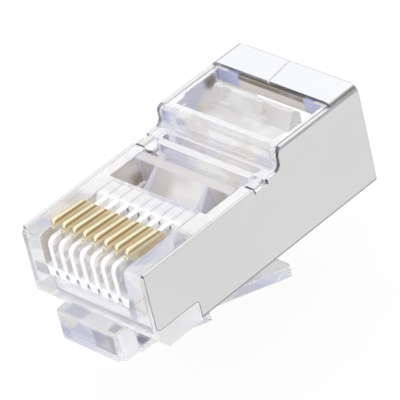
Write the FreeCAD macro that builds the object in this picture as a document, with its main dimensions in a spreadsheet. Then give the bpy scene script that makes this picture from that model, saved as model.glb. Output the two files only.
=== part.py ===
"""Shielded RJ45 modular plug, as supplied: contacts standing proud, strain reliefs open, no cable.

The frame: X runs across the plug, Y from the nose (Y = 0) to the cable end, Z up. Z = 0 is the
body's bottom plane, the side that the latch lever hangs from. Lengths are in millimetres.
"""
import FreeCAD, Part
import Sketcher
import math
import os
from FreeCAD import Vector

doc = FreeCAD.newDocument("rj45_plug")

# --------------------------------------------------------------------------------------------
# Driving sizes
# --------------------------------------------------------------------------------------------
SIZES = [
    # the moulding's outside
    ("plug_width", 11.68),
    ("body_length", 21.9),
    ("nose_height", 6.3),
    ("rear_height", 7.85),
    ("nose_round", 0.6),
    ("bevel_run", 0.98),
    ("bevel_rise", 1.13),
    ("step_place", 13.85),
    ("step_round", 0.6),
    ("core_round", 0.5),
    ("core_edge", 0.35),
    # the folded sheet
    ("sheet_thick", 0.25),
    ("sheet_fit", 0.03),
    ("sheet_bend", 0.7),
    ("sheet_fold", 0.35),
    ("shield_front", 0.24),
    ("shield_rear", 22.08),
    ("leg_back", 4.27),
    ("leg_bottom", 1.62),
    ("leg_round", 0.4),
    ("edge_rise", 0.05),
    ("strap_front", 19.48),
    ("strap_gap", 0.1),
    ("seam_front", 0.2),
    ("seam_rear", 0.7),
    ("seam_width", 0.08),
    ("seam_notch", 0.3),
    ("tab_front", 11.2),
    ("tab_back", 12.38),
    ("tab_reach", 1.45),
    ("tab_drop", 0.4),
    ("tab_bend", 0.35),
    ("tab_corner", 0.25),
    ("relief_front", 0.12),
    ("relief_back", 0.05),
    ("tab_flat", 0.45),
    ("tab_chamfer", 0.6),
    ("root_cut", 0.48),
    # contacts and the comb that holds them
    ("contact_count", 8),
    ("contact_pitch", 1.02),
    ("contact_thick", 0.35),
    ("contact_fit", 0.125),
    ("contact_front", 0.96),
    ("contact_back", 4.42),
    ("contact_top", 7.1),
    ("contact_fall", 0.2),
    ("contact_rail", 0.6),
    ("contact_bend", 0.5),
    ("contact_bevel", 0.4),
    ("toe_reach", 0.08),
    ("blade_inset", 0.9),
    ("blade_foot", 4.75),
    ("tooth_tip", 3.98),
    ("tooth_width", 0.9),
    ("slot_sill", 3.9),
    ("slot_back", 4.75),
    ("slot_ramp_run", 0.95),
    ("slot_ramp_drop", 1.5),
    ("comb_spare", 0.2),
    # wire channels, and the wire room behind them
    ("wire_bore", 0.9),
    ("wire_height", 3.35),
    ("wire_front", 0.9),
    ("wire_overlap", 0.05),
    ("room_width", 8.7),
    ("room_floor", 2.75),
    ("room_mouth", 4.1),
    ("room_ceiling", 5.0),
    # cable cavity
    ("cavity_width", 9.2),
    ("cavity_floor", 1.15),
    ("cavity_ceiling", 6.75),
    ("cavity_front", 14.7),
    ("cavity_round", 1.0),
    # windows in the top
    ("window_width", 9.36),
    ("window_front", 7.5),
    ("window_back", 12.0),
    ("seat_inside", 4.45),
    ("seat_front", 11.08),
    ("seat_back", 12.45),
    ("seat_floor", 5.6),
    ("groove_width", 9.1),
    ("groove_front", 12.6),
    ("groove_back", 13.25),
    ("groove_depth", 1.1),
    ("groove_round", 0.2),
    ("hatch_width", 10.0),
    ("hatch_back", 19.35),
    ("hatch_ledge", 5.6),
    ("hatch_mouth", 9.4),
    ("mouth_back", 16.0),
    ("ear_inside", 8.96),
    ("ear_back", 15.4),
    ("ear_top", 7.4),
    # conductor bar
    ("bar_front", 9.96),
    ("bar_back", 10.75),
    ("bar_top", 6.28),
    ("bar_depth", 1.1),
    ("bar_end_fit", 0.08),
    ("bar_core", 8.5),
    ("wedge_width", 5.9),
    ("wedge_taper", 0.4),
    ("wedge_front", 8.35),
    ("wedge_lip", 0.35),
    ("wedge_foot", 4.45),
    # jacket clamp
    ("hinge_round", 0.22),
    ("hinge_fit", 0.03),
    ("clamp_width", 8.8),
    ("clamp_height", 5.93),
    ("clamp_heel", 17.45),
    ("head_crest", 18.15),
    ("head_top", 7.4),
    ("head_slope", 0.35),
    ("head_back", 18.9),
    ("head_rear", 6.95),
    ("head_foot", 5.8),
    ("head_side", 3.05),
    ("notch_left", 3.17),
    ("notch_right", 0.59),
    ("notch_width", 0.76),
    ("notch_back", 18.3),
    ("notch_floor", 6.5),
    # the chin under the nose, and the latch lever that it carries
    ("chin_reach", 1.1),
    ("chin_width", 6.1),
    ("chin_round", 0.45),
    ("chin_top", 1.08),
    ("chin_drop", 1.2),
    ("chin_back", 0.55),
    ("lever_height", 1.22),
    ("lever_level", 1.7),
    ("shoulder_place", 7.14),
    ("shoulder_width", 6.1),
    ("tail_width", 3.2),
    ("tail_end", 16.4),
    ("tail_fall", 4.08),
    ("tail_extra", 0.5),
    ("tail_round", 0.4),
    # a cut that has to leave the solid runs this far past it
    ("clear_of", 1.0),
]

sheet = doc.addObject("Spreadsheet::Sheet", "Sizes")
for row, (alias, number) in enumerate(SIZES, start=1):
    sheet.set("A%d" % row, alias)
    sheet.set("B%d" % row, str(number))
    sheet.setAlias("B%d" % row, alias)
doc.recompute()


class Size:
    """A length that knows its number and the spreadsheet formula that gives it."""

    def __init__(self, number, formula):
        self.number = float(number)
        self.formula = formula

    def join(self, sign, other):
        if not isinstance(other, Size):
            other = Size(other, repr(other))
        number = {
            "+": lambda: self.number + other.number,
            "-": lambda: self.number - other.number,
            "*": lambda: self.number * other.number,
            "/": lambda: self.number / other.number,
        }[sign]()
        return Size(number, "(%s %s %s)" % (self.formula, sign, other.formula))

    def __add__(self, other):
        return self.join("+", other)

    def __sub__(self, other):
        return self.join("-", other)

    def __mul__(self, other):
        return self.join("*", other)

    def __truediv__(self, other):
        return self.join("/", other)

    def __neg__(self):
        return self.join("*", -1)


def size(alias):
    return Size(sheet.get(alias), "Sizes." + alias)


zero = Size(0, "0")
half = 0.5


# --------------------------------------------------------------------------------------------
# How the pieces are drawn and cut
# --------------------------------------------------------------------------------------------
def plane_of(body, role):
    """The body's own origin plane or axis with that role."""
    return next(item for item in body.Origin.OriginFeatures if item.Role == role)


def place_point(sketch, geometry, end, corner):
    """Ties one end of a line or an arc to a corner given as two sizes."""
    for kind, length in (("DistanceX", corner[0]), ("DistanceY", corner[1])):
        index = sketch.addConstraint(Sketcher.Constraint(kind, -1, 1, geometry, end, length.number))
        sketch.setExpression("Constraints[%d]" % index, length.formula)


def arc_through(start, finish, radius):
    """The short arc from start to finish; it turns left where the radius is positive."""
    chord = finish - start
    reach = max(radius ** 2 - chord.Length ** 2 / 4, 0)
    bow = abs(radius) - math.sqrt(reach)
    outward = Vector(chord.y, -chord.x, 0).normalize() * math.copysign(bow, radius)
    return Part.Arc(start, (start + finish) * half + outward, finish)


def draw_loop(sketch, loop):
    """A closed loop of corners (u, v). A third entry starts an arc of that radius there."""
    points = [Vector(corner[0].number, corner[1].number, 0) for corner in loop]
    ends = []
    for index, corner in enumerate(loop):
        start, finish = points[index], points[(index + 1) % len(loop)]
        if len(corner) == 3:
            geometry = sketch.addGeometry(arc_through(start, finish, corner[2].number), False)
            radius = abs(corner[2].number)
            limit = sketch.addConstraint(Sketcher.Constraint("Radius", geometry, radius))
            sketch.setExpression("Constraints[%d]" % limit, "abs(%s)" % corner[2].formula)
            left_turn = corner[2].number > 0
            ends.append((geometry, 1, 2) if left_turn else (geometry, 2, 1))
        else:
            geometry = sketch.addGeometry(Part.LineSegment(start, finish), False)
            ends.append((geometry, 1, 2))
    for index, (geometry, first, _) in enumerate(ends):
        before, _, last = ends[index - 1]
        sketch.addConstraint(Sketcher.Constraint("Coincident", before, last, geometry, first))
        place_point(sketch, geometry, first, loop[index])


def new_sketch(body, name, role, offset):
    """A sketch on one of the body's own planes, lifted off it along the plane's normal."""
    sketch = body.newObject("Sketcher::SketchObject", name)
    sketch.AttachmentSupport = [(plane_of(body, role), "")]
    sketch.MapMode = "FlatFace"
    sketch.setExpression(".AttachmentOffset.Base.z", offset.formula)
    return sketch


def side_view(body, name, *loops, at=zero):
    """Loops of (Y, Z) corners on the plane X = at."""
    sketch = new_sketch(body, name, "YZ_Plane", at)
    for loop in loops:
        draw_loop(sketch, loop)
    return sketch


def end_view(body, name, *loops, at=zero):
    """Loops of (X, Z) corners on the plane Y = at, whose normal points to the nose."""
    sketch = new_sketch(body, name, "XZ_Plane", -at)
    for loop in loops:
        draw_loop(sketch, loop)
    return sketch


def top_view(body, name, *loops, at=zero):
    """Loops of (X, Y) corners on the plane Z = at."""
    sketch = new_sketch(body, name, "XY_Plane", at)
    for loop in loops:
        draw_loop(sketch, loop)
    return sketch


def box_loop(low_u, high_u, low_v, high_v):
    """A rectangle."""
    return [(low_u, low_v), (high_u, low_v), (high_u, high_v), (low_u, high_v)]


def round_loop(low_u, high_u, low_v, high_v, low_round, high_round):
    """A rectangle with rounded corners: one radius for the two low ones, one for the high ones."""
    return [
        (low_u + low_round, low_v),
        (high_u - low_round, low_v, low_round),
        (high_u, low_v + low_round),
        (high_u, high_v - high_round, high_round),
        (high_u - high_round, high_v),
        (low_u + high_round, high_v, high_round),
        (low_u, high_v - high_round),
        (low_u, low_v + low_round, low_round),
    ]


def mirrored(corners):
    """A loop of corners on one side of the plug and their images on the other side."""
    return corners + [(-corner[0], corner[1]) for corner in reversed(corners)]


def finish_feature(body, feature, volume, grows):
    """Makes the feature the body's last one and checks that it changed the solid the right way."""
    body.Tip = feature
    doc.recompute()
    gain = feature.Shape.Volume - volume
    if (gain if grows else -gain) <= 0:
        raise RuntimeError("%s of %s changed nothing" % (feature.Name, body.Label))
    return feature


def extrude(body, kind, name, sketch, length, way):
    """A Pad or Pocket of a sketch: way is both, ahead (its default side) or back."""
    volume = body.Shape.Volume if body.Tip else 0
    feature = body.newObject("PartDesign::" + kind, name)
    feature.Profile = sketch
    feature.SideType = "Symmetric" if way == "both" else "One side"
    feature.Reversed = way == "back"
    feature.setExpression("Length", length.formula)
    return finish_feature(body, feature, volume, kind == "Pad")


def row_of(body, name, originals, spacing, count, grows=False):
    """Repeats features along X."""
    volume = body.Shape.Volume
    pattern = body.newObject("PartDesign::LinearPattern", name)
    pattern.Originals = originals
    pattern.Direction = (plane_of(body, "X_Axis"), [""])
    pattern.Mode = "Spacing"
    pattern.setExpression("Offset", spacing.formula)
    pattern.setExpression("Occurrences", count.formula)
    return finish_feature(body, pattern, volume, grows)


def both_sides(body, name, originals, grows):
    """Repeats features on the other side of the plug."""
    volume = body.Shape.Volume
    mirror = body.newObject("PartDesign::Mirrored", name)
    mirror.Originals = originals
    mirror.MirrorPlane = (plane_of(body, "YZ_Plane"), [""])
    return finish_feature(body, mirror, volume, grows)


def new_body(label):
    body = doc.addObject("PartDesign::Body", label)
    body.Label = label
    return body


# --------------------------------------------------------------------------------------------
# Sizes that several pieces share
# --------------------------------------------------------------------------------------------
plug_half = size("plug_width") * half
past = size("clear_of")
nose_height = size("nose_height")
rear_height = size("rear_height")
body_length = size("body_length")
sheet_thick = size("sheet_thick")
sheet_fit = size("sheet_fit")
core_half = plug_half - sheet_thick - sheet_fit
core_bottom = sheet_thick + sheet_fit
cavity_front = size("cavity_front")
hinge_round = size("hinge_round")
hinge_fit = size("hinge_fit")
pitch = size("contact_pitch")
contact_count = size("contact_count")
first_contact = -pitch * (contact_count - 1) * half
step_place = size("step_place")
step_round = size("step_round")
shield_front = size("shield_front")
leg_back = size("leg_back")
leg_bottom = size("leg_bottom")
leg_round = size("leg_round")
strap_front = size("strap_front")
window_back = size("window_back")
bar_back = size("bar_back")


# --------------------------------------------------------------------------------------------
# Housing: one clear moulding
# --------------------------------------------------------------------------------------------
def make_housing():
    body = new_body("housing")
    nose_round = size("nose_round")
    bevel_rise = size("bevel_rise")
    profile = [
        (size("bevel_run"), zero),
        (body_length, zero),
        (body_length, rear_height),
        (step_place + step_round, rear_height, step_round),
        (step_place, rear_height - step_round),
        (step_place, nose_height + step_round, -step_round),
        (step_place - step_round, nose_height),
        (nose_round, nose_height, nose_round),
        (zero, nose_height - nose_round),
        (zero, bevel_rise),
    ]
    extrude(body, "Pad", "Block", side_view(body, "Profile", profile), size("plug_width"), "both")

    # The sheet wraps the rear part, so the block is cut back all round it there.
    sleeve = end_view(
        body, "SleeveSection",
        box_loop(-plug_half - past, plug_half + past, -past, rear_height + past),
        round_loop(
            -core_half, core_half, core_bottom, rear_height, size("core_round"), size("core_edge")
        ),
        at=leg_back - sheet_fit,
    )
    extrude(body, "Pocket", "SheetSeat", sleeve, body_length, "ahead")

    # Further forward the sheet covers only the flanks, and the block is flush with it below.
    cheek_round = leg_round + sheet_fit
    cheek_front = shield_front - sheet_fit
    cheek_bottom = leg_bottom - sheet_fit
    cheek_loop = [
        (cheek_front, nose_height + past),
        (cheek_front, cheek_bottom + cheek_round, cheek_round),
        (cheek_front + cheek_round, cheek_bottom),
        (leg_back, cheek_bottom),
        (leg_back, nose_height + past),
    ]
    cheek_sketch = side_view(body, "CheekOutline", cheek_loop, at=core_half)
    cheek = extrude(body, "Pocket", "CheekSeat", cheek_sketch, sheet_thick + past, "back")
    both_sides(body, "CheekSeats", [cheek], grows=False)

    # The chin below the nose carries the latch lever.
    chin_half = size("chin_width") * half
    chin_round = size("chin_round")
    chin_reach = size("chin_reach")
    chin_loop = [
        (chin_half, size("chin_back")),
        (-chin_half, size("chin_back")),
        (-chin_half, chin_round - chin_reach, chin_round),
        (chin_round - chin_half, -chin_reach),
        (chin_half - chin_round, -chin_reach, chin_round),
        (chin_half, chin_round - chin_reach),
    ]
    chin_sketch = top_view(body, "ChinOutline", chin_loop, at=-size("chin_drop"))
    extrude(body, "Pad", "Chin", chin_sketch, size("chin_drop") + size("chin_top"), "ahead")

    # Cable cavity, open at the back, and the wire room that narrows from it to the channels.
    cavity_half = size("cavity_width") * half
    cavity_round = size("cavity_round")
    cavity_loop = round_loop(
        -cavity_half, cavity_half, size("cavity_floor"), size("cavity_ceiling"),
        cavity_round, cavity_round,
    )
    cavity_sketch = end_view(body, "CavitySection", cavity_loop, at=body_length)
    extrude(body, "Pocket", "Cavity", cavity_sketch, body_length - cavity_front, "back")
    window_front = size("window_front")
    room_loop = [
        (window_front, size("room_floor")),
        (cavity_front + size("wire_overlap"), size("cavity_floor")),
        (cavity_front + size("wire_overlap"), size("room_ceiling")),
        (window_front, size("room_mouth")),
    ]
    room_sketch = side_view(body, "RoomProfile", room_loop)
    extrude(body, "Pocket", "WireRoom", room_sketch, size("room_width"), "both")

    # The front window holds the conductor bar, a groove follows it, and the hatch is at the back.
    window_half = size("window_width") * half
    window_sketch = top_view(
        body, "WindowOutline",
        box_loop(-window_half, window_half, window_front, window_back),
        at=nose_height,
    )
    window_depth = nose_height - size("room_mouth") + size("wire_overlap")
    extrude(body, "Pocket", "FrontWindow", window_sketch, window_depth, "ahead")
    # Beside the window the rims are cut down for the shield's tabs.
    seat_outline = box_loop(
        size("seat_inside"), core_half + past, size("seat_front"), size("seat_back")
    )
    seat_sketch = top_view(body, "SeatOutline", seat_outline, at=nose_height)
    seat = extrude(body, "Pocket", "TabSeat", seat_sketch, nose_height - size("seat_floor"), "ahead")
    both_sides(body, "TabSeats", [seat], grows=False)
    groove_half = size("groove_width") * half
    groove_round = size("groove_round")
    groove_sketch = top_view(
        body, "GrooveOutline",
        round_loop(
            -groove_half, groove_half, size("groove_front"), size("groove_back"),
            groove_round, groove_round,
        ),
        at=nose_height,
    )
    extrude(body, "Pocket", "Groove", groove_sketch, size("groove_depth"), "ahead")
    hatch_half = size("hatch_width") * half
    hatch_back = size("hatch_back")
    mouth_half = size("hatch_mouth") * half
    ear_back = size("ear_back")
    mouth_sketch = top_view(
        body, "MouthOutline",
        mirrored([
            (mouth_half, cavity_front),
            (mouth_half, ear_back),
            (hatch_half, size("mouth_back")),
            (hatch_half, hatch_back),
        ]),
        at=rear_height,
    )
    extrude(body, "Pocket", "HatchMouth", mouth_sketch, rear_height - size("ear_top"), "ahead")
    # Below the mouth two small ears stay in the front corners.
    ear_half = size("ear_inside") * half
    hatch_sketch = top_view(
        body, "HatchOutline",
        mirrored([
            (ear_half, cavity_front),
            (ear_half, ear_back),
            (mouth_half, ear_back),
            (hatch_half, size("mouth_back")),
            (hatch_half, hatch_back),
        ]),
        at=rear_height,
    )
    extrude(body, "Pocket", "Hatch", hatch_sketch, rear_height - size("hatch_ledge"), "ahead")

    # One slot and one wire channel for each contact.
    slot_width = size("contact_thick") + size("contact_fit") * 2
    slot_back = size("slot_back")
    wire_front = size("wire_front")
    slot_loop = [
        (-past, size("slot_sill")),
        (wire_front, size("slot_sill")),
        (wire_front, size("wire_height")),
        (slot_back, size("wire_height")),
        (slot_back, nose_height - size("slot_ramp_drop")),
        (slot_back + size("slot_ramp_run"), nose_height),
        (slot_back + size("slot_ramp_run"), nose_height + past),
        (-past, nose_height + past),
    ]
    slot_sketch = side_view(body, "SlotProfile", slot_loop, at=first_contact)
    slot = extrude(body, "Pocket", "Slot", slot_sketch, slot_width, "both")
    row_of(body, "Slots", [slot], pitch, contact_count)
    # The two end slots are a little wider on the outside.
    comb_side = first_contact - slot_width * half
    end_sketch = side_view(body, "EndSlotProfile", slot_loop, at=comb_side)
    end_slot = extrude(body, "Pocket", "EndSlot", end_sketch, size("comb_spare"), "ahead")
    both_sides(body, "EndSlots", [end_slot], grows=False)
    bore_sketch = new_sketch(body, "WireSection", "XZ_Plane", -wire_front)
    bore_radius = size("wire_bore") * half
    centre = Vector(first_contact.number, size("wire_height").number, 0)
    bore_sketch.addGeometry(Part.Circle(centre, Vector(0, 0, 1), bore_radius.number), False)
    place_point(bore_sketch, 0, 3, (first_contact, size("wire_height")))
    limit = bore_sketch.addConstraint(Sketcher.Constraint("Radius", 0, bore_radius.number))
    bore_sketch.setExpression("Constraints[%d]" % limit, bore_radius.formula)
    bore_length = window_front - wire_front + size("wire_overlap")
    bore = extrude(body, "Pocket", "WireChannel", bore_sketch, bore_length, "ahead")
    row_of(body, "WireChannels", [bore], pitch, contact_count)
    return body


# --------------------------------------------------------------------------------------------
# Shield: one folded sheet
# --------------------------------------------------------------------------------------------
def make_shield():
    body = new_body("shield")
    bend = size("sheet_bend")
    fold = size("sheet_fold")
    strap_top = rear_height + size("strap_gap") + sheet_thick
    tube = end_view(
        body, "TubeSection",
        round_loop(-plug_half, plug_half, zero, strap_top, fold, bend),
        round_loop(
            sheet_thick - plug_half, plug_half - sheet_thick,
            sheet_thick, strap_top - sheet_thick, fold - sheet_thick, bend - sheet_thick,
        ),
        at=shield_front,
    )
    extrude(body, "Pad", "Tube", tube, size("shield_rear") - shield_front, "back")

    # The flanks' upper edge follows the moulding, and steps up in a soft S to the strap.
    low_edge = nose_height + size("edge_rise")
    high_edge = rear_height + size("edge_rise")
    rise = step_place - size("edge_rise")
    sky = strap_top + past
    upper = [
        (-past, sky),
        (-past, low_edge),
        (rise - step_round, low_edge, step_round),
        (rise, low_edge + step_round),
        (rise, high_edge - step_round, -step_round),
        (rise + step_round, high_edge),
        (strap_front, high_edge),
        (strap_front, sky),
    ]
    through = size("plug_width") + past
    extrude(body, "Pocket", "UpperEdge", side_view(body, "UpperOutline", upper), through, "both")
    lower = [
        (-past, -past),
        (leg_back, -past),
        (leg_back, leg_bottom - leg_round, leg_round),
        (leg_back - leg_round, leg_bottom),
        (shield_front + leg_round, leg_bottom, -leg_round),
        (shield_front, leg_bottom + leg_round),
        (-past, leg_bottom + leg_round),
    ]
    extrude(body, "Pocket", "LowerEdge", side_view(body, "LowerOutline", lower), through, "both")

    # The strap's two ends meet in a butt seam, a little askew, with a nick at its front.
    seam_half = size("seam_width") * half
    nick = size("seam_notch")
    seam = [
        (-size("seam_front") - seam_half - nick * half, strap_front - past * half),
        (-size("seam_front") + seam_half + nick * half, strap_front - past * half),
        (-size("seam_front") + seam_half, strap_front + nick),
        (-size("seam_rear") + seam_half, size("shield_rear") + past),
        (-size("seam_rear") - seam_half, size("shield_rear") + past),
        (-size("seam_front") - seam_half, strap_front + nick),
    ]
    seam_sketch = top_view(body, "SeamOutline", seam, at=strap_top + sheet_thick)
    extrude(body, "Pocket", "Seam", seam_sketch, sheet_thick * 3, "ahead")

    # Two tabs are bent over at the flanks' upper edge and dip towards the front window.
    tab_bend = size("tab_bend")
    root = low_edge - tab_bend
    knee = plug_half - tab_bend
    tip = plug_half - size("tab_reach")
    tip_top = low_edge - size("tab_drop")
    tab_front = size("tab_front")
    tab_back = size("tab_back")
    relief_back = tab_back + size("relief_back")
    relief = box_loop(tab_front - size("relief_front"), relief_back, root, low_edge + past)
    extrude(body, "Pocket", "Relief", side_view(body, "ReliefOutline", relief), through, "both")
    tab_loop = [
        (plug_half - sheet_thick, root),
        (plug_half, root, tab_bend),
        (knee, low_edge),
        (knee - size("tab_flat"), low_edge),
        (tip, tip_top),
        (tip, tip_top - sheet_thick),
        (knee - size("tab_flat"), low_edge - sheet_thick),
        (knee, low_edge - sheet_thick),
    ]
    tab_sketch = end_view(body, "TabSection", tab_loop, at=tab_front)
    tab = extrude(body, "Pad", "Tab", tab_sketch, tab_back - tab_front, "back")
    corner = size("tab_corner")
    corner_sketch = top_view(
        body, "TabCorners",
        [(tip, tab_front), (tip + corner, tab_front), (tip, tab_front + corner)],
        [(tip, tab_back), (tip, tab_back - corner), (tip + size("tab_chamfer"), tab_back)],
        at=low_edge,
    )
    corners = extrude(body, "Pocket", "TabTip", corner_sketch, tab_bend + past, "ahead")
    root_loop = box_loop(knee, plug_half + past, tab_back - size("root_cut"), relief_back)
    root_sketch = top_view(body, "TabRoot", root_loop, at=low_edge)
    root_cut = extrude(body, "Pocket", "RootCut", root_sketch, tab_bend, "ahead")
    both_sides(body, "Tabs", [tab, corners, root_cut], grows=True)
    return body


# --------------------------------------------------------------------------------------------
# Contacts: gold-plated blades, each in its slot above a wire channel
# --------------------------------------------------------------------------------------------
def make_contact(number):
    body = new_body("contact_%d" % number)
    front = size("contact_front")
    back = size("contact_back")
    top = size("contact_top")
    bend = size("contact_bend")
    bevel = size("contact_bevel")
    rail_bottom = top - size("contact_rail")
    rear_top = top - size("contact_fall")
    blade_front = front + size("blade_inset")
    tooth = size("tooth_width")
    foot = size("blade_foot")
    tip = size("tooth_tip")
    loop = [
        (front - size("toe_reach"), rail_bottom),
        (blade_front, rail_bottom),
        (blade_front, foot),
        (blade_front + tooth * half, tip),
        (blade_front + tooth, foot),
        (back - tooth, foot),
        (back - tooth * half, tip),
        (back, foot),
        (back, rear_top - bevel),
        (back - bevel, rear_top),
        (front + bend, top, bend),
        (front, top - bend),
    ]
    sketch = side_view(body, "Contact%dProfile" % number, loop)
    extrude(body, "Pad", "Contact%dBlade" % number, sketch, size("contact_thick"), "both")
    place = first_contact + pitch * (number - 1)
    body.setExpression(".Placement.Base.x", place.formula)
    return body


# --------------------------------------------------------------------------------------------
# Conductor bar: pressed onto the wires when the plug is crimped
# --------------------------------------------------------------------------------------------
def make_conductor_bar():
    body = new_body("conductor_bar")
    bar_front = size("bar_front")
    top = size("bar_top")
    foot = size("wedge_foot")
    wedge_front = size("wedge_front")
    wedge = [
        (wedge_front, foot),
        (bar_back, foot),
        (bar_back, top),
        (bar_front, top),
        (wedge_front, foot + size("wedge_lip")),
    ]
    extrude(body, "Pad", "Wedge", side_view(body, "WedgeProfile", wedge), size("wedge_width"), "both")
    # The wedge's ends lean inwards towards the top.
    wedge_side = size("wedge_width") * half
    lean = [
        (wedge_side, foot),
        (wedge_side + past, foot),
        (wedge_side + past, top + past),
        (wedge_side - size("wedge_taper"), top + past),
        (wedge_side - size("wedge_taper"), top),
    ]
    lean_sketch = end_view(body, "WedgeEndOutline", lean, at=wedge_front)
    ends = extrude(body, "Pocket", "WedgeEnd", lean_sketch, bar_back - wedge_front, "ahead")
    both_sides(body, "WedgeEnds", [ends], grows=False)
    core = box_loop(bar_front, bar_back, foot, top)
    extrude(body, "Pad", "Core", side_view(body, "CoreProfile", core), size("bar_core"), "both")
    strip = box_loop(bar_front, bar_back, top - size("bar_depth"), top)
    strip_width = size("window_width") - size("bar_end_fit") * 2
    strip_sketch = side_view(body, "StripProfile", strip)
    extrude(body, "Pad", "Strip", strip_sketch, strip_width, "both")
    return body


# --------------------------------------------------------------------------------------------
# Jacket clamp: swings down about its front edge onto the cable's jacket
# --------------------------------------------------------------------------------------------
def make_jacket_clamp():
    body = new_body("jacket_clamp")
    pivot_y = cavity_front + hinge_fit + hinge_round
    pivot_z = size("clamp_height")
    top = pivot_z + hinge_round
    bottom = pivot_z - hinge_round
    heel = size("clamp_heel")
    plate = [
        (pivot_y, bottom),
        (heel, bottom),
        (heel, top),
        (pivot_y, top, hinge_round),
        (pivot_y - hinge_round, pivot_z, hinge_round),
    ]
    extrude(body, "Pad", "Plate", side_view(body, "PlateProfile", plate), size("clamp_width"), "both")
    left = size("clamp_width") * half
    head_top = size("head_top")
    head_foot = size("head_foot")
    back = size("head_back")
    head = [
        (heel, bottom),
        (back, head_foot),
        (back, size("head_rear")),
        (size("head_crest") + size("head_slope"), head_top),
        (size("head_crest"), head_top),
        (heel, top),
    ]
    head_sketch = side_view(body, "HeadProfile", head, at=-left)
    extrude(body, "Pad", "Head", head_sketch, left + size("head_side"), "ahead")
    # The sloping face that a crimping tool pushes on has two notches in its upper edge.
    notch_half = size("notch_width") * half
    left_notch = -size("notch_left")
    right_notch = size("notch_right")
    notch_front = heel - hinge_round
    notch_back = size("notch_back")
    notches = top_view(
        body, "NotchOutline",
        box_loop(left_notch - notch_half, left_notch + notch_half, notch_front, notch_back),
        box_loop(right_notch - notch_half, right_notch + notch_half, notch_front, notch_back),
        at=head_top,
    )
    extrude(body, "Pocket", "Notches", notches, head_top - size("notch_floor"), "ahead")
    return body


# --------------------------------------------------------------------------------------------
# Latch lever: flexes up towards the body about its root at the chin
# --------------------------------------------------------------------------------------------
def make_latch_lever():
    body = new_body("latch_lever")
    pivot_y = size("chin_back") + hinge_fit + hinge_round
    pivot_z = -size("lever_height")
    top = pivot_z + hinge_round
    bottom = pivot_z - hinge_round
    knee = size("lever_level")
    tail_end = size("tail_end")
    fall = size("tail_fall")
    profile = [
        (pivot_y, bottom),
        (knee, bottom),
        (tail_end, bottom - fall - size("tail_extra")),
        (tail_end, top - fall),
        (knee, top),
        (pivot_y, top, hinge_round),
        (pivot_y - hinge_round, pivot_z, hinge_round),
    ]
    sketch = side_view(body, "LeverProfile", profile)
    extrude(body, "Pad", "Lever", sketch, size("shoulder_width"), "both")

    # Behind the two shoulders, which lock in the jack, only the narrow thumb tail goes on.
    shoulder = size("shoulder_place")
    outside = size("shoulder_width") * half + past
    tail_half = size("tail_width") * half
    tail_round = size("tail_round")
    around = [
        (outside, shoulder),
        (outside, tail_end + past),
        (-outside, tail_end + past),
        (-outside, shoulder),
        (-tail_half, shoulder),
        (-tail_half, tail_end - tail_round, -tail_round),
        (tail_round - tail_half, tail_end),
        (tail_half - tail_round, tail_end, -tail_round),
        (tail_half, tail_end - tail_round),
        (tail_half, shoulder),
    ]
    sides = top_view(body, "TailSides", around)
    extrude(body, "Pocket", "Shoulders", sides, body_length, "ahead")
    return body


pieces = [make_housing(), make_shield()]
for contact_number in range(1, int(contact_count.number) + 1):
    pieces.append(make_contact(contact_number))
pieces.append(make_conductor_bar())
pieces.append(make_jacket_clamp())
pieces.append(make_latch_lever())
doc.recompute()

# --------------------------------------------------------------------------------------------
# Check everything, then write one file for each piece
# --------------------------------------------------------------------------------------------
for item in doc.Objects:
    if "Invalid" in item.State or "Error" in item.State:
        raise RuntimeError("%s failed: %s" % (item.Label, item.State))
for piece in pieces:
    if piece.Shape.isNull() or not piece.Shape.isValid() or len(piece.Shape.Solids) != 1:
        raise RuntimeError("%s is not one valid solid" % piece.Label)
os.makedirs("parts", exist_ok=True)
for piece in pieces:
    piece.Shape.exportStep(os.path.join("parts", piece.Label + ".step"))
    print("%-14s %8.3f mm3" % (piece.Label, piece.Shape.Volume))
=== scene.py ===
"""Shielded modular plug for a network cable, as supplied: a clear moulding with eight gold-plated
contacts standing proud, wrapped by one folded sheet of nickel-plated metal, on a pale floor."""
from math import cos, pi, radians, sin

import bmesh
import bpy
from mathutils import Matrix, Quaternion, Vector


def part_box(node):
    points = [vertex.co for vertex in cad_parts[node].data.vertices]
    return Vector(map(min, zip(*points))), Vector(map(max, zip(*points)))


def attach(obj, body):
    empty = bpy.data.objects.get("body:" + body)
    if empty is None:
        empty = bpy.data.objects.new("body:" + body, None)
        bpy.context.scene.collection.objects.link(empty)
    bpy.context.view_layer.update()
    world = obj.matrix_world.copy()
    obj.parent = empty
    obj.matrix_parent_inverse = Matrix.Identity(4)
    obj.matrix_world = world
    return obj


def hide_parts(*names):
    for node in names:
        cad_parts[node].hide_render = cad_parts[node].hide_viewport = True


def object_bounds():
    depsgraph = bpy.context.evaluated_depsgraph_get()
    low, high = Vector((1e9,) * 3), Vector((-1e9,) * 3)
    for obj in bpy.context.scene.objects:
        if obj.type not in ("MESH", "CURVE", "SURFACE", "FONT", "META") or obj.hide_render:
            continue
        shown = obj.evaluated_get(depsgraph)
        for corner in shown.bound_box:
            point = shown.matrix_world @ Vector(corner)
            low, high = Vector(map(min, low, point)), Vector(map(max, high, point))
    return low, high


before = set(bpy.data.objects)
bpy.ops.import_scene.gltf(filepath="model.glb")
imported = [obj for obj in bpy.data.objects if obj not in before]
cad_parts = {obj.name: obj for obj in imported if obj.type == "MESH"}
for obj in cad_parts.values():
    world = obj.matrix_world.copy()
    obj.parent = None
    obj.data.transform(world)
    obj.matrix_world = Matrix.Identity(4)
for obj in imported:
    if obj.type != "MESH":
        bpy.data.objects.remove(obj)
cad_low, cad_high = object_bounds()
mm = 0.001


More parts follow.
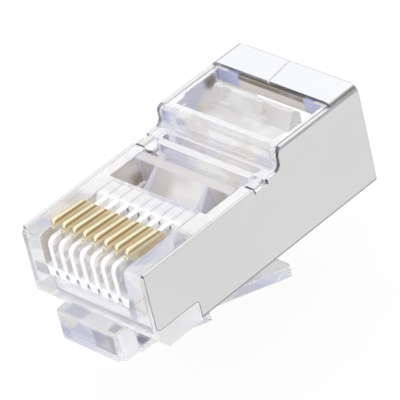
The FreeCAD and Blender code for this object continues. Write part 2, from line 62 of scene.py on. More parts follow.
# --------------------------------------------------------------------------------------------
# Camera: a long lens, some way above the nose and to its right, and tipped a little. It looks at
# the middle of the plug's body from so far off that the plug's long edges stay nearly parallel.
# --------------------------------------------------------------------------------------------
azimuth = radians(51.69)
elevation = radians(34.29)
tip = radians(-13.67)
distance = 268.1 * mm
body_middle = Vector((0, 11 * mm, 3.5 * mm))

camera = bpy.data.objects.new("camera", bpy.data.cameras.new("camera"))
bpy.context.scene.collection.objects.link(camera)
bpy.context.scene.camera = camera
toward = Vector((sin(azimuth) * cos(elevation), -cos(azimuth) * cos(elevation), sin(elevation)))
camera.location = body_middle + toward * distance
camera.rotation_euler = (toward.to_track_quat("Z", "Y") @ Quaternion((0, 0, 1), tip)).to_euler()
camera.data.sensor_width = 36
camera.data.lens = 351.5
camera.data.shift_y = 0.0017
camera.data.clip_start = 10 * mm
camera.data.clip_end = 10000 * mm


# --------------------------------------------------------------------------------------------
# Studio: a floor of white paper, a large soft box behind the plug on its left and a weaker lamp in
# front. The surround is white, with a dim band low down and one grey panel for the clear plastic
# and the bright metal to show.
# --------------------------------------------------------------------------------------------
def linear(code):
    """The linear colour of an sRGB hex value."""
    parts = [int(code[start:start + 2], 16) / 255 for start in (1, 3, 5)]
    return [part / 12.92 if part <= 0.04045 else ((part + 0.055) / 1.055) ** 2.4 for part in parts] + [1]


def add_node(tree, kind, settings=(), **links):
    """A node with its settings, its sockets given a value or joined to another node's output. A
    socket goes by its name, or as in0, in1 and so on by its place where names repeat."""
    node = tree.nodes.new(kind)
    for name, value in dict(settings).items():
        setattr(node, name, value)
    for name, value in links.items():
        numbered = name.startswith("in") and name[2:].isdigit()
        socket = node.inputs[int(name[2:])] if numbered else node.inputs[name.replace("_", " ")]
        if isinstance(value, bpy.types.NodeSocket):
            tree.links.new(value, socket)
        else:
            socket.default_value = value
    return node


def mask(tree, *ramps):
    """The product of smooth ramps, each given as a value, where it is 0 and where it is 1."""
    product = None
    for value, none_at, full_at in ramps:
        ramp = add_node(tree, "ShaderNodeMapRange", {"interpolation_type": "SMOOTHSTEP"},
                        Value=value, From_Min=none_at, From_Max=full_at).outputs[0]
        product = ramp if product is None else add_node(
            tree, "ShaderNodeMath", {"operation": "MULTIPLY"}, in0=product, in1=ramp).outputs[0]
    return product


def either(tree, *masks):
    """The strongest of several masks."""
    strongest = masks[0]
    for other in masks[1:]:
        strongest = add_node(tree, "ShaderNodeMath", {"operation": "MAXIMUM"},
                             in0=strongest, in1=other).outputs[0]
    return strongest


def painted(tree, under, *coats):
    """A colour with coats laid over it one by one, each given as its mask and its own colour. A
    colour is a hex value or another node's output."""
    result = linear(under) if isinstance(under, str) else under
    for share, colour in coats:
        coat = linear(colour) if isinstance(colour, str) else colour
        result = add_node(tree, "ShaderNodeMix", {"data_type": "RGBA"},
                          in0=share, in6=result, in7=coat).outputs[2]
    return result


def empty_material(name):
    """A new material with nothing in its tree, and the tree."""
    material = bpy.data.materials.new(name)
    material.use_nodes = True
    material.node_tree.nodes.clear()
    return material, material.node_tree


# Matt surfaces are lit by an even white. Metal and clear plastic see screens instead: white ones
# down to 20 degrees above the horizon, a dim room below them, and a round grey panel behind the
# plug on its right.
band_top, band_full = sin(radians(19.877)), sin(radians(9.207))
panel_way = (0.56, 0.51, 0.65)
panel_rim, panel_core = radians(29), radians(13)

world = bpy.data.worlds.new("white surround")
bpy.context.scene.world = world
world.use_nodes = True
tree = world.node_tree
tree.nodes.clear()
rays = add_node(tree, "ShaderNodeLightPath")
way = add_node(tree, "ShaderNodeTexCoord").outputs["Generated"]
height = add_node(tree, "ShaderNodeSeparateXYZ", Vector=way).outputs["Z"]
low_band = mask(tree, (height, band_top, band_full))
clutter = add_node(tree, "ShaderNodeTexNoise", Vector=way, Scale=1.6, Detail=1.0).outputs["Fac"]
room = painted(tree, "#5E5C5E", (clutter, "#A0A2B4"), (rays.outputs["Is Transmission Ray"], "#CDD0E8"))
toward_panel = add_node(tree, "ShaderNodeVectorMath", {"operation": "DOT_PRODUCT"},
                        in0=way, in1=panel_way).outputs["Value"]
panel = mask(tree, (toward_panel, cos(panel_rim), cos(panel_core)))
shown = painted(tree, "#FFFFFF", (low_band, room), (panel, "#6E6C62"))
screens = add_node(tree, "ShaderNodeBackground", Color=shown, Strength=1.0)
fill = add_node(tree, "ShaderNodeBackground", Color=linear("#F6F6FA"), Strength=1.08)
plain = add_node(tree, "ShaderNodeBackground", Color=linear("#FFFFFF"), Strength=1.0)
bright = either(tree, rays.outputs["Is Glossy Ray"], rays.outputs["Is Transmission Ray"])
lighting = add_node(tree, "ShaderNodeMixShader", in0=bright, in1=fill.outputs[0], in2=screens.outputs[0])
surround = add_node(tree, "ShaderNodeMixShader", in0=rays.outputs["Is Camera Ray"],
                    in1=lighting.outputs[0], in2=plain.outputs[0])
add_node(tree, "ShaderNodeOutputWorld", Surface=surround.outputs[0])

floor_half = 1500 * mm
floor_drop = 0.05 * mm
floor_mesh = bmesh.new()
bmesh.ops.create_grid(floor_mesh, x_segments=1, y_segments=1, size=floor_half)
bmesh.ops.translate(floor_mesh, verts=floor_mesh.verts, vec=(0, 0, cad_low.z - floor_drop))
floor = bpy.data.objects.new("floor", bpy.data.meshes.new("floor"))
floor_mesh.to_mesh(floor.data)
floor_mesh.free()
bpy.context.scene.collection.objects.link(floor)

# White studio paper is matt and evenly white to the rays that see it. Six percent of it is lit in
# the usual way, and that part carries the plug's faint shadow.
even_share = 0.94
mirrored_drop = 0.22
paper, tree = empty_material("white studio paper")
rays = add_node(tree, "ShaderNodeLightPath")
seen = either(tree, rays.outputs["Is Camera Ray"], rays.outputs["Is Glossy Ray"],
              rays.outputs["Is Transmission Ray"])
even = add_node(tree, "ShaderNodeMath", {"operation": "MULTIPLY"}, in0=seen, in1=even_share)
dimmed = add_node(tree, "ShaderNodeMath", {"operation": "MULTIPLY_ADD"},
                  in0=rays.outputs["Is Glossy Ray"], in1=-mirrored_drop, in2=1.0)
lit = add_node(tree, "ShaderNodeBsdfDiffuse", Color=linear("#F4F4F6"))
glow = add_node(tree, "ShaderNodeEmission", Color=linear("#FFFFFF"), Strength=dimmed.outputs[0])
surface = add_node(tree, "ShaderNodeMixShader", in0=even.outputs[0],
                   in1=lit.outputs[0], in2=glow.outputs[0])
add_node(tree, "ShaderNodeOutputMaterial", Surface=surface.outputs[0])
floor.data.materials.append(paper)

# Each lamp's place and width, and its power in watts. The metal would mirror the soft box as a
# blown-out patch, so glossy rays pass it by.
lamp_aim = Vector((0, 11 * mm, 3 * mm))
for name, spot, width, power, mirrored in (
    ("soft box", (-240 * mm, 200 * mm, 260 * mm), 360 * mm, 0.43, False),
    ("front fill", (200 * mm, -320 * mm, 300 * mm), 300 * mm, 0.2, True),
):
    lamp = bpy.data.objects.new(name, bpy.data.lights.new(name, "AREA"))
    lamp.data.shape = "SQUARE"
    lamp.data.size = width
    lamp.data.energy = power
    lamp.location = spot
    lamp.visible_glossy = mirrored
    lamp.rotation_euler = (Vector(spot) - lamp_aim).to_track_quat("Z", "Y").to_euler()
    bpy.context.scene.collection.objects.link(lamp)


# --------------------------------------------------------------------------------------------
# Housing: the plug's body, one block injection-moulded in clear polycarbonate. It has the comb for
# the contacts, the wire channels, two windows and the cable cavity, and holds every other piece.
# --------------------------------------------------------------------------------------------
contact_pitch = 1.02 * mm
comb_half = 4 * contact_pitch
hatch_back = 19.35 * mm


def within(tree, axes, soft, **spans):
    """1 inside the spans in mm that are given for X, Y and Z, falling to 0 over a soft border."""
    ramps = []
    for axis, (low, high) in spans.items():
        if low is not None:
            ramps.append((axes.outputs[axis], (low - soft) * mm, low * mm))
        if high is not None:
            ramps.append((axes.outputs[axis], (high + soft) * mm, high * mm))
    return mask(tree, *ramps)


def painted_far_walls(tree, place, plain):
    """Thick clear plastic shows its far walls as patches with straight edges, some cool, some warm;
    here they are painted on, as painted reflections.
    """
    facet = 2.381 * mm
    drawn = add_node(tree, "ShaderNodeMapping", Vector=place, Scale=(1, 0.6, 1))
    facets = add_node(tree, "ShaderNodeTexVoronoi", Vector=drawn.outputs[0], Scale=1 / facet)
    chance = add_node(tree, "ShaderNodeSeparateColor", Color=facets.outputs["Color"]).outputs["Red"]
    cool = mask(tree, (chance, 0.68, 0.74))
    warm = mask(tree, (chance, 0.24, 0.18))
    return painted(tree, plain, (cool, "#E2E4F1"), (warm, "#EDE9E4"))


def clear_plastic(tree, place, body, clarity, haze, edge_on_shade="#A9AAB8", crest_tint="#FFFFFF",
                  crest=0.12 * mm):
    """Clear plastic: faintly rippled by the mould, painted grey as painted shade where seen edge on,
    with rounded edges that catch the light. Rays that have crossed four walls meet a painted glow in
    the thick plastic's pale tone."""
    ripple_length = 5.556 * mm
    ripple_depth = 0.2 * mm
    ripple_strength = 0.04
    most_walls = 3.5
    edge_shine = 0.55
    edge = add_node(tree, "ShaderNodeBevel", {"samples": 4}, Radius=crest).outputs[0]
    flow = add_node(tree, "ShaderNodeTexNoise", Vector=place, Scale=1 / ripple_length, Detail=2.0)
    rippled = add_node(tree, "ShaderNodeBump", Strength=ripple_strength, Distance=ripple_depth,
                       Height=flow.outputs["Fac"], Normal=edge)
    rim = add_node(tree, "ShaderNodeLayerWeight", Blend=0.5, Normal=edge)
    edge_on = mask(tree, (rim.outputs["Facing"], 0.82, 0.98))
    tone = painted(tree, body, (edge_on, edge_on_shade))
    plastic = add_node(tree, "ShaderNodeBsdfPrincipled", Base_Color=tone, Normal=rippled.outputs[0],
                       Roughness=haze, IOR=1.585, Transmission_Weight=clarity)
    rays = add_node(tree, "ShaderNodeLightPath")
    deep = add_node(tree, "ShaderNodeMath", {"operation": "GREATER_THAN"},
                    in0=rays.outputs["Ray Depth"], in1=most_walls)
    # Painted glow: an emission in the plastic's pale tone for rays that have crossed four walls.
    deep_glow = add_node(tree, "ShaderNodeEmission", Color=linear("#F4F3F6"), Strength=1.0)
    thick = add_node(tree, "ShaderNodeMixShader", in0=deep.outputs[0],
                     in1=plastic.outputs[0], in2=deep_glow.outputs[0])
    true = add_node(tree, "ShaderNodeNewGeometry").outputs["True Normal"]
    turn = add_node(tree, "ShaderNodeVectorMath", {"operation": "DOT_PRODUCT"}, in0=true, in1=edge)
    rounded = mask(tree, (turn.outputs["Value"], 0.985, 0.9))
    shine = add_node(tree, "ShaderNodeMath", {"operation": "MULTIPLY"}, in0=rounded, in1=edge_shine)
    lit_edge = add_node(tree, "ShaderNodeBsdfDiffuse", Color=linear(crest_tint))
    edged = add_node(tree, "ShaderNodeMixShader", in0=shine.outputs[0],
                     in1=thick.outputs[0], in2=lit_edge.outputs[0])
    add_node(tree, "ShaderNodeOutputMaterial", Surface=edged.outputs[0])


def dress(node, material):
    """Gives a CAD node its material."""
    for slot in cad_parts[node].material_slots:
        slot.material = material


# Clear moulded polycarbonate is glossy and shows its far walls in painted patches, painted
# reflections. Where the mould was spark-eroded or ground it is milky: the more solid a spot is, the
# less it lets through.
clear, tree = empty_material("clear moulded polycarbonate")
source = add_node(tree, "ShaderNodeTexCoord")
place = source.outputs["Object"]
axes = add_node(tree, "ShaderNodeSeparateXYZ", Vector=place)
side = add_node(tree, "ShaderNodeSeparateXYZ", Vector=source.outputs["Normal"])
along = axes.outputs["Y"]
up = axes.outputs["Z"]
aside = add_node(tree, "ShaderNodeMath", {"operation": "ABSOLUTE"}, in0=axes.outputs["X"]).outputs[0]
faces_up = (side.outputs["Z"], 0.9, 0.98)

body = painted_far_walls(tree, place, "#FCFCFB")
# Painted light: the front under the comb is painted plain white over the patches.
under_comb = within(tree, axes, 0.2, Y=(None, 0.2), Z=(1.2, 3.2))
body = painted(tree, body, (under_comb, "#FFFFFF"))
# Painted shade and painted reflections of far walls, at one place each, with their tint, soft
# border and spans in mm.
for tint, soft, spans in (
    # the chin's front
    ("#98969F", 0.1, dict(X=(2.15, 2.6), Y=(None, -0.95), Z=(-0.6, 0.8))),
    ("#B2B1BE", 0.1, dict(X=(0.6, 2.05), Y=(None, -0.95), Z=(-0.6, 0.75))),
    ("#C0C2D2", 0.1, dict(X=(-2.8, -1.9), Y=(None, -0.95), Z=(-0.85, -0.1))),
    # the chin's top
    ("#B4B0C0", 0.1, dict(X=(1.95, 2.6), Y=(-0.8, -0.1), Z=(0.9, None))),
    ("#CFD0DC", 0.1, dict(X=(-2.3, -0.6), Y=(-0.8, 0.1), Z=(0.9, 1.3))),
    # the two cheeks beside the comb
    ("#BABBCD", 0.1, dict(X=(3.8, 4.4), Y=(None, 0.2), Z=(2.3, 3.8))),
    ("#C2BFC4", 0.1, dict(X=(-5.2, -4.0), Y=(None, 0.2), Z=(3.0, 3.8))),
    # the step's left end
    ("#AEB6E2", 0.1, dict(X=(-5.4, -4.75), Y=(13.5, 14.3), Z=(6.7, 7.5))),
    # the windows' left walls
    ("#A09890", 0.4, dict(X=(None, -4.8), Y=(18.2, 18.8), Z=(6.9, 7.4))),
    ("#B0A498", 0.6, dict(X=(None, -4.6), Y=(9.8, 10.4), Z=(3.7, 4.4))),
    # the nose's top, warm beside the contacts and cool at its corners
    ("#FBF2DA", 0.3, dict(X=(-5.2, -4.2), Y=(1.8, 4.4), Z=(5.9, None))),
    ("#D4DAEC", 0.1, dict(X=(-5.3, -4.5), Y=(0.9, 1.6), Z=(5.9, None))),
    ("#CFD1E2", 0.1, dict(X=(4.35, 4.9), Y=(1.3, 2.1), Z=(5.9, None))),
):
    body = painted(tree, body, (within(tree, axes, soft, **spans), tint))

# The comb's thin walls come from a spark-eroded part of the mould and are frosted, with a grain of
# 0.7 mm, which is coarser than the real one, so that it shows. Behind the front wall the frosting
# starts 1.1 mm lower, where the wire channels end.
behind_front = mask(tree, (along, 0.70 * mm, 0.85 * mm))
raised = add_node(tree, "ShaderNodeMath", {"operation": "MULTIPLY_ADD"},
                  in0=behind_front, in1=1.1 * mm, in2=up).outputs[0]
comb = mask(tree, (aside, comb_half - 0.03 * mm, comb_half - 0.13 * mm),
            (along, 6.2 * mm, 5.6 * mm), (raised, 3.3 * mm, 3.9 * mm))
spark_grain = 0.7143 * mm
spark = add_node(tree, "ShaderNodeTexNoise", Vector=place, Scale=1 / spark_grain,
                 Detail=1.0).outputs["Fac"]
eroded_and_shaded = painted(tree, "#E0DDDB", (mask(tree, (spark, 0.42, 0.6)), "#FCFBFA"))
# Painted shade: the slots' steep side walls are grey, mottled by the spark grain, while tops and fronts
# stay white.
steep = add_node(tree, "ShaderNodeMath", {"operation": "ABSOLUTE"}, in0=side.outputs["X"]).outputs[0]
comb_tone = painted(tree, "#FFFFFF", (mask(tree, (steep, 0.6, 0.95)), eroded_and_shaded))

# A small dark mark of painted shade sits on the wall at the back of most slots.
shade_mark_places = within(tree, axes, 0.04, X=(-0.9, None), Y=(5.36, 5.44), Z=(5.95, 6.2))
shade_marks = add_node(tree, "ShaderNodeMath", {"operation": "MULTIPLY"},
                in0=shade_mark_places, in1=mask(tree, (side.outputs["X"], 0.6, 0.9))).outputs[0]

# The wire channels lie just under the top behind the comb, and are painted on it as a row of hazy
# squares, a painted view through the plastic, with darker lines of painted shade between them.
from_wall = add_node(tree, "ShaderNodeMath", {"operation": "PINGPONG"},
                     in0=axes.outputs["X"], in1=contact_pitch / 2).outputs[0]
channels = mask(tree, (along, 5.75 * mm, 5.95 * mm), (along, 7.3 * mm, 7.1 * mm), faces_up,
                (aside, comb_half + 0.04 * mm, comb_half - 0.03 * mm))
painted_channel_view = painted(tree, "#D3D0CE", (mask(tree, (from_wall, 0.02 * mm, 0.16 * mm)), "#F4F3F2"))

# The hatch's back wall stands under the strap and is painted with the metal's shaded underside:
# painted shade, mottled brown and grey at the top, pale below, and lavender at its ends.
shade_mottle_length = 1.667 * mm
strap_wall = within(tree, axes, 0.02, Y=(19.33, 19.6), Z=(6.76, None))
shade_mottle = add_node(tree, "ShaderNodeTexNoise", Vector=place, Scale=1 / shade_mottle_length,
                  Detail=1.0).outputs["Fac"]
shade = painted(tree, "#7A6E5E", (mask(tree, (shade_mottle, 0.4, 0.6)), "#A39AA0"),
                (mask(tree, (up, 7.5 * mm, 7.4 * mm)), "#E2DAD5"),
                (mask(tree, (aside, 3.0 * mm, 3.3 * mm)), "#C0C6E4"))

# The wire channels' blind ends are painted on the front wall as white dots, a painted view through
# it, with grey gaps of painted shade.
front_wall = ((along, 0.3 * mm, 0.1 * mm), (aside, comb_half + 0.02 * mm, comb_half - 0.08 * mm))
painted_channel_ends = mask(tree, (from_wall, 0.12 * mm, 0.26 * mm), (up, 3.0 * mm, 3.25 * mm),
            (up, 3.95 * mm, 3.85 * mm), *front_wall)
painted_gap_shade = mask(tree, (from_wall, 0.14 * mm, 0.06 * mm), (up, 3.3 * mm, 3.4 * mm),
            (up, 3.75 * mm, 3.65 * mm), *front_wall)

# The rims beside and behind the windows, the legs under the shield's flanks and the chin's right
# end are the mould's parting faces and a little hazy, and are painted a plain pale white as painted
# light.
rims = mask(tree, faces_up, (along, 4.9 * mm, 5.6 * mm),
            (aside, comb_half + 0.04 * mm, comb_half + 0.14 * mm))
tops = mask(tree, faces_up, (along, 11.9 * mm, 12.0 * mm),
            (along, hatch_back - 0.01 * mm, hatch_back - 0.05 * mm))
legs = mask(tree, (aside, 5.6 * mm, 5.75 * mm), (up, 1.75 * mm, 1.6 * mm))
chin_end = within(tree, axes, 0.1, X=(3.0, 3.1), Y=(None, 0.4), Z=(None, 1.0))
parting_and_lightened = either(tree, rims, tops, legs, chin_end)
nose = within(tree, axes, 0.2, Y=(None, 0.2), Z=(1.0, 5.6))

body = painted(tree, body, (comb, comb_tone), (shade_marks, "#5E5A58"), (channels, painted_channel_view),
               (strap_wall, shade), (painted_channel_ends, "#FFFFFF"), (painted_gap_shade, "#8E8C92"), (parting_and_lightened, "#FDFCFB"))
solid = either(tree, comb, strap_wall, painted_channel_ends, painted_gap_shade)
for hazy, weight in ((channels, 0.55), (parting_and_lightened, 0.45), (nose, 0.2)):
    solid = add_node(tree, "ShaderNodeMath", {"operation": "MULTIPLY_ADD"},
                     in0=hazy, in1=weight, in2=solid).outputs[0]
clarity = add_node(tree, "ShaderNodeMapRange", Value=solid, To_Min=0.9, To_Max=0.12)
haze = add_node(tree, "ShaderNodeMapRange", Value=solid, To_Min=0.08, To_Max=0.45)
clear_plastic(tree, place, body, clarity.outputs[0], haze.outputs[0])
dress("housing", clear)


# --------------------------------------------------------------------------------------------
# Shield: one sheet of brass, stamped, nickel-plated and folded round the housing. It closes over
# the top in a butt seam, and two tabs bend down into seats in the housing and keep it on.
# --------------------------------------------------------------------------------------------
strap_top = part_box("shield")[1].z

# Nickel-plated rolled sheet is a bright metal with a soft gleam. Fine rolling marks run along it,
# its sheared edges and other faces turned forward or down are painted dark as shade, and its
# inside carries a painted reflection of the plastic's warm grey.
nickel, tree = empty_material("nickel-plated sheet")
source = add_node(tree, "ShaderNodeTexCoord")
place = source.outputs["Object"]
axes = add_node(tree, "ShaderNodeSeparateXYZ", Vector=place)
side = add_node(tree, "ShaderNodeSeparateXYZ", Vector=source.outputs["Normal"])
across, along, up = axes.outputs["X"], axes.outputs["Y"], axes.outputs["Z"]

# The rolling marks are drawn 0.07 mm apart, coarser than the real ones, so that they show.
mark_spacing = 0.07143 * mm
sheen_length = 3.846 * mm
drawn = add_node(tree, "ShaderNodeMapping", Vector=place, Scale=(1, 0.05, 1))
grain = add_node(tree, "ShaderNodeTexNoise", Vector=drawn.outputs[0], Scale=1 / mark_spacing, Detail=2.0)
cloud = add_node(tree, "ShaderNodeTexNoise", Vector=place, Scale=1 / sheen_length,
                 Detail=3.0).outputs["Fac"]
dull = add_node(tree, "ShaderNodeMapRange", Value=cloud, To_Min=0.24, To_Max=0.36)
edge = add_node(tree, "ShaderNodeBevel", {"samples": 6}, Radius=0.09 * mm).outputs[0]
true = add_node(tree, "ShaderNodeNewGeometry").outputs["True Normal"]
# The left flank keeps its sharp edges, because rounded ones smear the light over its thin lip.
bent = add_node(tree, "ShaderNodeMix", {"data_type": "VECTOR"},
                in0=mask(tree, (across, -5.0 * mm, -4.5 * mm)), in4=true, in5=edge)
rolled = add_node(tree, "ShaderNodeBump", Strength=0.12, Distance=0.004 * mm,
                  Height=grain.outputs["Fac"], Normal=bent.outputs[1])

# Painted shade on the faces and edges turned forward or down, darker on the right.
turned = add_node(tree, "ShaderNodeSeparateXYZ", Vector=edge)
ahead, below = [add_node(tree, "ShaderNodeMapRange", Value=turned.outputs[axis],
                         From_Min=-0.1, From_Max=-0.35).outputs[0] for axis in "YZ"]
forward_down_shade = either(tree, ahead, below)
right = mask(tree, (across, -1 * mm, 1 * mm))
forward_down_shade_tone = painted(tree, "#A8A8B2", (right, "#787882"))

# The inside begins under the sheet's upper edge, which stands 0.05 mm above the housing, on the
# nose and again behind the step, where the housing is 1.55 mm higher.
outward = add_node(tree, "ShaderNodeMath", {"operation": "MULTIPLY"},
                   in0=across, in1=side.outputs["X"]).outputs[0]
rise = add_node(tree, "ShaderNodeMath", {"operation": "MULTIPLY_ADD"},
                in0=mask(tree, (along, 13.4 * mm, 14.2 * mm)), in1=-1.55 * mm, in2=up).outputs[0]
inside = mask(tree, (outward, -4.2 * mm, -5 * mm), (up, 2.6 * mm, 3.4 * mm),
              (rise, 6.08 * mm, 5.98 * mm))
high = add_node(tree, "ShaderNodeMath", {"operation": "GREATER_THAN"}, in0=up, in1=6.5 * mm)
under_strap = add_node(tree, "ShaderNodeMath", {"operation": "MULTIPLY"},
                       in0=below, in1=high.outputs[0]).outputs[0]
# Painted shade and a painted reflection of the plastic's warm grey on the inside and under the strap,
# clouded, and paler from 15 mm back.
inside_shade_tone = painted(tree, "#BEB6AE", (mask(tree, (cloud, 0.35, 0.65)), "#E8E3DE"),
                      (mask(tree, (along, 14 * mm, 15 * mm)), "#EFEBE8"))

# Rounded edges carry a painted reflection of the dark part of the room where they are seen at a
# glance. Both kinds of edge are painted paler on the left, beside the soft box.
glance = add_node(tree, "ShaderNodeLayerWeight", Blend=0.5, Normal=edge).outputs["Facing"]
turn = add_node(tree, "ShaderNodeVectorMath", {"operation": "DOT_PRODUCT"}, in0=true, in1=edge)
glancing = mask(tree, (glance, 0.7, 0.92), (turn.outputs["Value"], 0.995, 0.96))
glancing_reflection_tone = painted(tree, "#90909A", (right, "#56565F"))

# The tabs, the strap's top, the inner side of the folded lip and the seam's cut faces lie open to
# the light and look pale.
tab = mask(tree, (up, 6.3 * mm, 6.2 * mm), (along, 11.1 * mm, 11.15 * mm),
           (along, 12.5 * mm, 12.45 * mm), (side.outputs["Z"], 0.2, 0.4))
strap = mask(tree, (up, strap_top - 0.3 * mm, strap_top - 0.2 * mm), (side.outputs["Z"], 0.8, 0.95))
lip = mask(tree, (outward, -3 * mm, -4 * mm), (rise, 5.98 * mm, 6.08 * mm))
steep = add_node(tree, "ShaderNodeMath", {"operation": "ABSOLUTE"}, in0=side.outputs["X"]).outputs[0]
seam = mask(tree, (steep, 0.4, 0.8), (up, strap_top - 0.4 * mm, strap_top - 0.35 * mm),
            (across, -2.0 * mm, -1.6 * mm), (across, 2.0 * mm, 1.6 * mm))
pale_lip = either(tree, lip, seam)
tint = painted(tree, "#EEEEED", (cloud, "#F5F5F5"), (forward_down_shade, forward_down_shade_tone),
               (either(tree, inside, under_strap), inside_shade_tone), (tab, "#FFFFFF"),
               (glancing, glancing_reflection_tone), (strap, "#FAFBFF"), (pale_lip, "#FDFDFD"))
# The pale, lit parts are also made less metallic, which paints them paler.
open_to_light = either(tree, tab, pale_lip)
metal = add_node(tree, "ShaderNodeMapRange", Value=open_to_light, To_Min=1.0, To_Max=0.1)
plated = add_node(tree, "ShaderNodeBsdfPrincipled", Metallic=metal.outputs[0], Base_Color=tint,
                  Roughness=dull.outputs[0], Normal=rolled.outputs[0])
add_node(tree, "ShaderNodeOutputMaterial", Surface=plated.outputs[0])
dress("shield", nickel)


# --------------------------------------------------------------------------------------------
# Contacts: eight blades stamped from phosphor bronze and gold-plated. Each stands proud in its own
# slot, held by the slot's walls, until the crimping tool drives it into its wire.
# --------------------------------------------------------------------------------------------
edge_width = 0.04 * mm
merge_distance = 0.002 * mm
flat_angle = radians(1)
sharp_angle = radians(25)
streak_spacing = 0.1111 * mm
tarnish_length = 1.4286 * mm
band_height = 0.5 * mm
crest_slope = 0.0578

# Gold plating on a stamped blade is a warm mirror on the tops. The punched sides are duller, banded
# and streaked, and carry a line of painted shade just under the rounded crest, which falls 0.2 mm
# towards the back.
gold, tree = empty_material("gold plating")
source = add_node(tree, "ShaderNodeTexCoord")
place = source.outputs["Object"]
axes = add_node(tree, "ShaderNodeSeparateXYZ", Vector=place)
side = add_node(tree, "ShaderNodeSeparateXYZ", Vector=source.outputs["Normal"])
drawn = add_node(tree, "ShaderNodeMapping", Vector=place, Scale=(1, 1, 0.08))
streaks = add_node(tree, "ShaderNodeTexNoise", Vector=drawn.outputs[0], Scale=1 / streak_spacing,
                   Detail=2.0).outputs["Fac"]
cloud = add_node(tree, "ShaderNodeTexNoise", Vector=place, Scale=1 / tarnish_length,
                 Detail=2.0).outputs["Fac"]
steep = add_node(tree, "ShaderNodeMath", {"operation": "ABSOLUTE"}, in0=side.outputs["X"])
punched = add_node(tree, "ShaderNodeMapRange", Value=steep.outputs[0],
                   From_Min=0.5, From_Max=0.95).outputs[0]
band_turn = add_node(tree, "ShaderNodeMath", {"operation": "MULTIPLY"},
                     in0=axes.outputs["Z"], in1=2 * pi / band_height)
band_wave = add_node(tree, "ShaderNodeMath", {"operation": "SINE"}, in0=band_turn.outputs[0])
bands = add_node(tree, "ShaderNodeMapRange", Value=band_wave.outputs[0],
                 From_Min=-1.0, From_Max=1.0).outputs[0]
crest = add_node(tree, "ShaderNodeMath", {"operation": "MULTIPLY_ADD"},
                 in0=axes.outputs["Y"], in1=crest_slope, in2=axes.outputs["Z"]).outputs[0]
crest_shade_line = mask(tree, (crest, 6.88 * mm, 7.0 * mm), (crest, 7.10 * mm, 7.06 * mm))
punched_tone = painted(tree, "#D8C49C", (bands, "#EDDFC0"), (crest_shade_line, "#A28C60"))
tint = painted(tree, "#FCF2CA", (cloud, "#FFFADC"), (punched, punched_tone))
dull = add_node(tree, "ShaderNodeMapRange", Value=streaks, To_Min=0.16, To_Max=0.3)
stamped = add_node(tree, "ShaderNodeBump", Strength=0.15, Distance=0.004 * mm, Height=streaks)
metal = add_node(tree, "ShaderNodeMapRange", Value=punched, To_Min=1.0, To_Max=0.2)
plated = add_node(tree, "ShaderNodeBsdfPrincipled", Metallic=metal.outputs[0], Base_Color=tint,
                  Roughness=dull.outputs[0], Normal=stamped.outputs[0])
add_node(tree, "ShaderNodeOutputMaterial", Surface=plated.outputs[0])

# Each blade is the node's own shape with its triangles joined to clean faces and its stamped edges
# rounded.
for number in range(1, 9):
    node = "contact_%d" % number
    shape = bmesh.new()
    shape.from_mesh(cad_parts[node].data)
    bmesh.ops.remove_doubles(shape, verts=shape.verts, dist=merge_distance)
    bmesh.ops.dissolve_limit(shape, angle_limit=flat_angle, verts=shape.verts, edges=shape.edges)
    blade = bpy.data.objects.new(node + "_finished", bpy.data.meshes.new(node + "_finished"))
    shape.to_mesh(blade.data)
    shape.free()
    bpy.context.scene.collection.objects.link(blade)
    rounding = blade.modifiers.new("edges", "BEVEL")
    rounding.width = edge_width
    rounding.segments = 2
    rounding.limit_method = "ANGLE"
    rounding.angle_limit = sharp_angle
    rounding.use_clamp_overlap = False
    rounding.miter_outer = "MITER_ARC"
    rounding.harden_normals = True
    for face in blade.data.polygons:
        face.use_smooth = True
    blade.data.materials.append(gold)
    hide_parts(node)
    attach(blade, node)


# --------------------------------------------------------------------------------------------
# Conductor bar: a wedge of polycarbonate moulded with the housing and held by thin webs, until the
# crimping tool presses it down on the eight wires. The tool's side of it is slightly frosted.
# --------------------------------------------------------------------------------------------
frost_length = 3.571 * mm
bright_place = 0.5 * mm

# Frosted moulded polycarbonate scatters light, looks milky and is softly clouded. Its colour
# carries painted light: bright in the middle and at its lower middle as a painted highlight, and
# grey towards its ends, on its tops and on its steep end faces as painted shade.
frosted, tree = empty_material("frosted moulded polycarbonate")
source = add_node(tree, "ShaderNodeTexCoord")
place = source.outputs["Object"]
axes = add_node(tree, "ShaderNodeSeparateXYZ", Vector=place)
side = add_node(tree, "ShaderNodeSeparateXYZ", Vector=source.outputs["Normal"])
along = axes.outputs["Y"]
offset = add_node(tree, "ShaderNodeMath", {"operation": "SUBTRACT"},
                  in0=axes.outputs["X"], in1=bright_place)
from_bright = add_node(tree, "ShaderNodeMath", {"operation": "ABSOLUTE"},
                       in0=offset.outputs[0]).outputs[0]
aside = add_node(tree, "ShaderNodeMath", {"operation": "ABSOLUTE"}, in0=axes.outputs["X"]).outputs[0]
steep = add_node(tree, "ShaderNodeMath", {"operation": "ABSOLUTE"}, in0=side.outputs["X"]).outputs[0]
cloud = add_node(tree, "ShaderNodeTexNoise", Vector=place, Scale=1 / frost_length,
                 Detail=0.0).outputs["Fac"]
lit_low_middle = within(tree, axes, 1.2, X=(0.2, 2.0), Y=(None, 9.0))
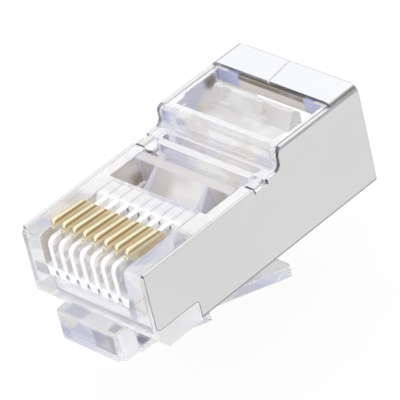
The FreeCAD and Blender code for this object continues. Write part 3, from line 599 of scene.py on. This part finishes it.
# The ends' upright edges catch the light as pale lavender strips, on the back part and on the wedge.
back_strip = mask(tree, (aside, 4.1 * mm, 4.2 * mm), (along, 10.1 * mm, 10.0 * mm))
front_strip = mask(tree, (aside, 2.25 * mm, 2.35 * mm), (along, 9.95 * mm, 9.9 * mm))
body = painted(tree, "#CDC9C6", (mask(tree, (from_bright, 3.4 * mm, 0.4 * mm)), "#FFFFFF"),
               (mask(tree, (cloud, 0.35, 0.75)), "#CBC5C0"), (lit_low_middle, "#FFFDFB"),
               (mask(tree, (side.outputs["Z"], 0.9, 0.98)), "#E0DCD9"),
               (mask(tree, (steep, 0.2, 0.5)), "#C4BEBC"),
               (either(tree, back_strip, front_strip), "#E0E1EC"))
clear_plastic(tree, place, body, 0.3, 0.2, crest_tint="#DADDF2", crest=0.22 * mm)
dress("conductor_bar", frosted)


# --------------------------------------------------------------------------------------------
# Jacket clamp: a block of polycarbonate in the hatch, moulded with the housing and held by a thin
# web. The crimping tool strikes its matt head and tips it down onto the cable's jacket.
# --------------------------------------------------------------------------------------------
skin_cloud = 2 * mm

# Matt moulded polycarbonate is half clear and evenly pale, with faint clouds.
matt, tree = empty_material("matt moulded polycarbonate")
place = add_node(tree, "ShaderNodeTexCoord").outputs["Object"]
cloud = add_node(tree, "ShaderNodeTexNoise", Vector=place, Scale=1 / skin_cloud,
                 Detail=1.0).outputs["Fac"]
body = painted(tree, "#F1EFEC", (mask(tree, (cloud, 0.4, 0.6)), "#FFFFFF"))
clear_plastic(tree, place, body, 0.55, 0.25, edge_on_shade="#C9C7C6")
dress("jacket_clamp", matt)


# --------------------------------------------------------------------------------------------
# Latch lever: the springing tongue under the plug, moulded in one with the housing's chin in clear
# polycarbonate. It bends at its root, and its two shoulders lock the plug in the jack.
# --------------------------------------------------------------------------------------------
# The lever is thin and clear, with painted reflections of its far walls in patches. Its hollow is
# painted as a dark patch of painted shade.
thin_clear, tree = empty_material("clear moulded polycarbonate, thin")
place = add_node(tree, "ShaderNodeTexCoord").outputs["Object"]
axes = add_node(tree, "ShaderNodeSeparateXYZ", Vector=place)
hollow_shade = within(tree, axes, 0.15, X=(1.9, 2.8), Y=(1.1, 2.1), Z=(None, -0.5))
body = painted(tree, painted_far_walls(tree, place, "#FBFBFA"), (hollow_shade, "#9A98B2"))
clear_plastic(tree, place, body, 0.88, 0.06)
dress("latch_lever", thin_clear)


# The colours are shown as they are written.
bpy.context.scene.view_settings.view_transform = "Standard"
